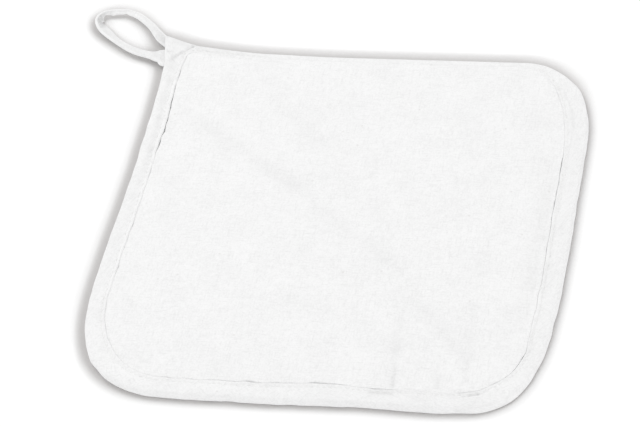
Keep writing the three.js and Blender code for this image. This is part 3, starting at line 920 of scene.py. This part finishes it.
def make_loop_row():
    """A row of small stitches that holds the loop's folded edge, beside its outer bead."""
    shares = np.linspace(0, 1, LOOP_ROW_POINTS)
    reached = run_along(smooth_through(LOOP_STATIONS[:, :3], shares))
    count = int(reached[-1] / LOOP_PITCH)
    place = np.arange(LOOP_ROW_ENDS, count - LOOP_ROW_ENDS) * LOOP_PITCH

    def points(place):
        share = np.interp(place, reached, shares)
        middle, across, through, width = loop_frame(share)
        aside = np.full_like(share, LOOP_ROW_ASIDE)
        rise = LOOP_THICKNESS / 2 + loop_face(share, aside) - LOOP_ROW_DIP
        return middle + across * (aside * width / 2)[:, None] + through * rise[:, None], through

    start, up = points(place)
    end, _ = points(place + LOOP_STITCH)
    return make_stitches("loop_stitches", start, end, up, radius=LOOP_THREAD, sink=LOOP_SINK)


def make_tacks():
    """The short tacks that hold the loop's ends: one on the lower root, and two on the nose."""
    start, end = TACKS[:, [0, 1, 4]], TACKS[:, [2, 3, 4]]
    return make_stitches("tack_stitches", start, end, np.tile(UP, (len(TACKS), 1)), sink=TACK_SINK)


class Value:
    """One number socket of a finish; the operators on it add Math nodes."""

    def __init__(self, finish, socket):
        self.finish, self.socket = finish, socket

    def __add__(self, other):
        return self.finish.math("ADD", self, other)

    def __sub__(self, other):
        return self.finish.math("SUBTRACT", self, other)

    def __rsub__(self, other):
        return self.finish.math("SUBTRACT", other, self)

    def __mul__(self, other):
        return self.finish.math("MULTIPLY", self, other)

    def __truediv__(self, other):
        return self.finish.math("DIVIDE", self, other)

    __radd__, __rmul__ = __add__, __mul__


class Finish:
    """A procedural material: node() adds any node, number() one that gives a number, math() works on
    numbers and blend() on colours."""

    def __init__(self, name, constants):
        self.material = bpy.data.materials.new(name)
        self.material.use_nodes = True
        self.tree = self.material.node_tree
        self.tree.nodes.clear()
        self.shader = self.node("ShaderNodeBsdfPrincipled", sockets=constants)
        self.node("ShaderNodeOutputMaterial", sockets={"Surface": self.shader.outputs[0]})

    def node(self, kind, settings=None, sockets=None):
        made = self.tree.nodes.new(kind)
        for key, value in (settings or {}).items():
            setattr(made, key, value)
        for key, value in (sockets or {}).items():
            self.feed(made.inputs[key], value)
        return made

    def number(self, kind, output, settings=None, sockets=None):
        return Value(self, self.node(kind, settings, sockets).outputs[output])

    def feed(self, socket, value):
        if isinstance(value, Value):
            value = value.socket
        if isinstance(value, bpy.types.NodeSocket):
            self.tree.links.new(value, socket)
        else:
            socket.default_value = value

    def math(self, operation, *terms):
        return self.number("ShaderNodeMath", 0, {"operation": operation}, dict(enumerate(terms)))

    def eased(self, value, low, high):
        sockets = {"Value": value, "From Min": low, "From Max": high}
        return self.number("ShaderNodeMapRange", 0, {"interpolation_type": "SMOOTHSTEP"}, sockets)

    def blend(self, share, first, second):
        sockets = {0: share, 6: first, 7: second}
        return self.node("ShaderNodeMix", {"data_type": "RGBA"}, sockets).outputs[2]

    def dress(self, colour, relief, depth):
        """Leads a colour and a relief, as a bump of the given depth in metres, into the shader."""
        bump = self.node("ShaderNodeBump", sockets={"Height": relief, "Strength": 0.5, "Distance": depth})
        self.feed(self.shader.inputs["Base Color"], colour)
        self.feed(self.shader.inputs["Normal"], bump.outputs[0])
        return self.material

    def coordinates(self, source, turn=0.0):
        """Two coordinates of the cloth in millimetres, turned in its plane."""
        place = self.node("ShaderNodeTexCoord").outputs[source]
        sockets = {"Vector": place, "Rotation": (0, 0, turn), "Scale": (1 / MM, 1 / MM, 1 / MM)}
        mapped = self.node("ShaderNodeMapping", sockets=sockets).outputs[0]
        parts = self.node("ShaderNodeSeparateXYZ", sockets={0: mapped})
        return Value(self, parts.outputs[0]), Value(self, parts.outputs[1])

    def cloud(self, x, y, across, along, detail=2.0):
        """Noise with patches of the given size in millimetres, from 0 to 1."""
        place = self.node("ShaderNodeCombineXYZ", sockets={0: x / across, 1: y / along})
        sockets = {"Vector": place.outputs[0], "Scale": 1.0, "Detail": detail}
        return self.number("ShaderNodeTexNoise", 0, {"noise_dimensions": "2D"}, sockets)

    def weave(self, x, y, warp, weft):
        """Plain weave: each thread is a half wave across, and the product of the two waves, a checker of
        overs and unders, says which thread is on top; the height is the higher of the two."""
        wander = (self.cloud(x, y, WANDER_SIZE, WANDER_SIZE, 1.0) - 0.5) * WANDER
        a = self.math("SINE", (x + wander) * (math.pi / warp))
        b = self.math("SINE", (y + wander) * (math.pi / weft))
        over = a * b * 0.5 + 0.5
        up = self.math("ABSOLUTE", a) * over
        aside = self.math("ABSOLUTE", b) * (1 - over)
        return self.math("MAXIMUM", up, aside)


# Colours: the cloth's light and dark tones, the grey that painted shade blends towards, seed flecks, and the
# thread's colour with painted shade in the grooves of its twist
LIGHT, SHADE = (0.90, 0.90, 0.90, 1), (0.82, 0.82, 0.82, 1)
PAINTED_SHADE_GREY, SEED_GREY = (0.40, 0.40, 0.40, 1), (0.50, 0.48, 0.45, 1)
THREAD_GROOVE, THREAD_LIGHT = (0.80, 0.80, 0.79, 1), (0.88, 0.88, 0.87, 1)
COTTON = {"Roughness": 0.92, "Sheen Weight": 0.3, "Sheen Roughness": 0.35, "Specular IOR Level": 0.12}

# How much each unevenness of the cloth darkens it, and how much it stands up. The weave's grooves get
# painted shade; the last two tones are the painted shade and the painted highlight that the shade attribute
# carries
CLOUD_TONE, PATCH_TONE, SPECKLE_TONE, GROOVE_TONE, SLUB_TONE, PLAIN_TONE = 0.75, 0.7, 1.55, 0.15, 0.45, 0.27
FLECK_TONE, PAINTED_SHADE_TONE, PAINTED_HIGHLIGHT_TONE = 0.24, 0.09, 0.5
WEAVE_RELIEF, SLUB_RELIEF, SPECKLE_RELIEF = 0.7, 0.5, 0.5

# Sizes on the cloth in millimetres: clouds, patches, speckle, the wander of a thread and how far it goes,
# a slub's width and the noise between which it comes in, a fleck's cell, its core and edge as shares of
# the cell, how far and how long it bends, and the length and slant of the thread's twist
CLOUD_SIZE, PATCH_SIZE, SPECKLE_WIDTH, SPECKLE_LENGTH = 14.0, 2.4, 0.9, 0.8
WANDER_SIZE, WANDER = 2.2, 0.5
SLUB_WIDTH, SLUB_FROM, SLUB_TO = 0.6, 0.58, 0.74
FLECK_CELL, FLECK_CORE, FLECK_EDGE = 8.0, 0.03, 0.09
FLECK_BEND, FLECK_BEND_SIZE, FLECK_LEAN = 0.6, 1.0, 0.4
TWIST_LENGTH, TWIST_SLANT = 0.6, 0.6
WEAVE_DEPTH, TWIST_DEPTH = 0.12 * MM, 0.06 * MM


def cotton(name, source, turn, warp, weft, slub_size, fleck_share):
    """White cotton: plain weave with thick threads both ways, faint clouding, a few seed flecks, painted
    shade in the weave's grooves, and painted shade and painted highlight from the shade attribute along
    creases, folds, dents, ridges and the loop's face. Each noise is shifted by its own distance, so that no
    two agree."""
    finish = Finish(name, COTTON)
    x, y = finish.coordinates(source, turn)
    height = finish.weave(x, y, warp, weft)
    warp_slub = finish.eased(finish.cloud(x, y, SLUB_WIDTH, slub_size), SLUB_FROM, SLUB_TO)
    weft_slub = finish.eased(finish.cloud(y + 31.7, x, SLUB_WIDTH, slub_size), SLUB_FROM, SLUB_TO)
    thick = warp_slub + weft_slub
    cloudy = finish.cloud(x + 57.0, y, CLOUD_SIZE, CLOUD_SIZE, 3.0) - 0.5
    speckle = finish.cloud(x, y + 19.0, SPECKLE_WIDTH, SPECKLE_LENGTH, 2.0) - 0.5
    patchy = finish.cloud(x + 11.0, y, PATCH_SIZE, PATCH_SIZE, 1.0) - 0.5
    tone = cloudy * CLOUD_TONE + patchy * PATCH_TONE + speckle * SPECKLE_TONE
    # Painted shade in the weave's grooves, where the threads dip
    tone = tone + (1 - height) * GROOVE_TONE + thick * SLUB_TONE + PLAIN_TONE
    bent = (finish.cloud(x, y + 83.0, FLECK_BEND_SIZE, FLECK_BEND_SIZE, 1.0) - 0.5) * FLECK_BEND
    place = {0: (x + bent) / FLECK_CELL, 1: (y + bent * FLECK_LEAN) / FLECK_CELL}
    cell = finish.node("ShaderNodeCombineXYZ", sockets=place).outputs[0]
    seed = finish.node("ShaderNodeTexVoronoi", {"voronoi_dimensions": "2D"}, {"Vector": cell, "Scale": 1.0})
    draw = finish.number("ShaderNodeSeparateColor", 0, sockets={0: seed.outputs["Color"]})
    rare = 1 - finish.eased(draw, 0.0, fleck_share)
    near = 1 - finish.eased(seed.outputs["Distance"], FLECK_CORE, FLECK_EDGE)
    fleck = near * rare * FLECK_TONE
    # Painted shade and painted highlight, carried by the shade attribute
    painted_shade = finish.number("ShaderNodeAttribute", "Fac", {"attribute_name": "shade"})
    # Painted highlight: the tone lightens where the shade attribute is below zero
    tone = tone + finish.math("MINIMUM", painted_shade, 0.0) * PAINTED_HIGHLIGHT_TONE
    colour = finish.blend(finish.math("MINIMUM", finish.math("MAXIMUM", tone, 0.0), 1.0), LIGHT, SHADE)
    # Painted shade: the cloth greys where the shade attribute is above zero
    colour = finish.blend(painted_shade * PAINTED_SHADE_TONE, colour, PAINTED_SHADE_GREY)
    colour = finish.blend(fleck, colour, SEED_GREY)
    relief = height * WEAVE_RELIEF + thick * SLUB_RELIEF + speckle * SPECKLE_RELIEF
    return finish.dress(colour, relief, WEAVE_DEPTH)


def thread_finish():
    """Twisted sewing thread: slanting ridges round the thread, with painted shade in the grooves."""
    finish = Finish("white_thread", {**COTTON, "Roughness": 0.7})
    x, y = finish.coordinates("UV")
    twist = finish.math("SINE", (x + y * TWIST_SLANT) * (2 * math.pi / TWIST_LENGTH)) * 0.5 + 0.5
    # Painted shade in the grooves of the twist
    colour = finish.blend(twist, THREAD_GROOVE, THREAD_LIGHT)
    return finish.dress(colour, twist, TWIST_DEPTH)


pad = make_pad()
binding = make_binding()
loop = make_loop()
seam_row, under_row = make_seam_rows()
loop_row = make_loop_row()
tacks = make_tacks()

pad_cotton = cotton("pad_cotton", "Object", 0, warp=0.46, weft=0.50, slub_size=7, fleck_share=0.09)
tape_cotton = cotton("tape_cotton", "UV", math.pi / 4, warp=0.40, weft=0.40, slub_size=5, fleck_share=0.03)
loop_cotton = cotton("loop_cotton", "UV", 0, warp=0.38, weft=0.38, slub_size=5, fleck_share=0.02)
thread = thread_finish()
pad.data.materials.append(pad_cotton)
binding.data.materials.append(tape_cotton)
loop.data.materials.append(loop_cotton)
for row in (seam_row, under_row, loop_row, tacks):
    row.data.materials.append(thread)

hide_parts("pad")
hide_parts("binding")
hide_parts("hanging_loop")


# Light that the pot holder keeps off the table top: the way that it comes from, how far off a thing may be
# to hide it, in metres, and how open the place still is where the shadow is full
SHADOWS = (
    ((0.50, -0.16, 0.85), 0.0065, 0.58),
    ((0.40, -0.82, 0.40), 0.0108, 0.65),
)
SHADOW_GREY = (0.55, 0.537, 0.532, 1)


def make_floor():
    """A plain pale table top, just under the pot holder. It looks darker where the pot holder hides the sky
    above it, or the light that comes in low from the front right."""
    size, level = 1.6, -0.00005
    mesh = bpy.data.meshes.new("table_top")
    corners = [(-size, -size, level), (size, -size, level), (size, size, level), (-size, size, level)]
    mesh.from_pydata(corners, [], [(0, 1, 2, 3)])
    floor = put("table_top", mesh)
    finish = Finish("pale_table", {"Roughness": 1.0, "Specular IOR Level": 0.0})
    lit = 1.0
    for way, reach, full in SHADOWS:
        toward = finish.node("ShaderNodeCombineXYZ", sockets=dict(enumerate(way))).outputs[0]
        sockets = {"Distance": reach, "Normal": toward}
        clear = finish.number("ShaderNodeAmbientOcclusion", "AO", {"samples": 16}, sockets)
        lit = lit * finish.eased(clear, full, 1.0)
    seen = finish.number("ShaderNodeLightPath", "Is Camera Ray")
    colour = finish.blend(seen * (1 - lit), (1, 1, 1, 1), SHADOW_GREY)
    finish.feed(finish.shader.inputs["Base Color"], colour)
    mesh.materials.append(finish.material)


# Lamps: name, place, width in metres, and power in watts
SOFT_LAMPS = (
    ("lamp_back_left", (-0.75, 0.55, 1.2), 0.7, 3.7),
    ("lamp_front_right", (1.0, -0.6, 0.6), 1.0, 1.3),
)


def make_light():
    """An even white sky, a soft lamp above the back left and a broad, low one at the front right."""
    world = bpy.data.worlds.new("studio")
    world.use_nodes = True
    sky = world.node_tree.nodes["Background"]
    sky.inputs["Color"].default_value = (1, 1, 1, 1)
    sky.inputs["Strength"].default_value = 0.92
    bpy.context.scene.world = world
    for name, place, size, power in SOFT_LAMPS:
        lamp = bpy.data.lights.new(name, "AREA")
        lamp.shape, lamp.size, lamp.energy = "DISK", size, power
        stand = put(name, lamp)
        stand.location = place
        stand.rotation_euler = (-stand.location).to_track_quat("-Z", "Y").to_euler()
    bpy.context.scene.view_settings.view_transform = "Standard"


def make_camera():
    """A long lens above the front right, rolled a little: back is the way from the target to the lens."""
    azimuth, elevation, roll = math.radians(20.92), math.radians(47.41), math.radians(-12.81)
    target, distance = Vector((-0.0108, 0.0073, 0)), 1.1573
    flat = math.cos(elevation)
    back = Vector((math.sin(azimuth) * flat, -math.cos(azimuth) * flat, math.sin(elevation)))
    level = Vector((math.cos(azimuth), math.sin(azimuth), 0))
    upright = back.cross(level)
    right = level * math.cos(roll) + upright * math.sin(roll)
    up = upright * math.cos(roll) - level * math.sin(roll)
    lens = bpy.data.cameras.new("camera")
    lens.lens, lens.sensor_width = 150, 36
    camera = put("camera", lens)
    turned = Matrix((right, up, back)).transposed().to_4x4()
    camera.matrix_world = Matrix.Translation(target + back * distance) @ turned
    bpy.context.scene.camera = camera


make_floor()
make_light()
make_camera()
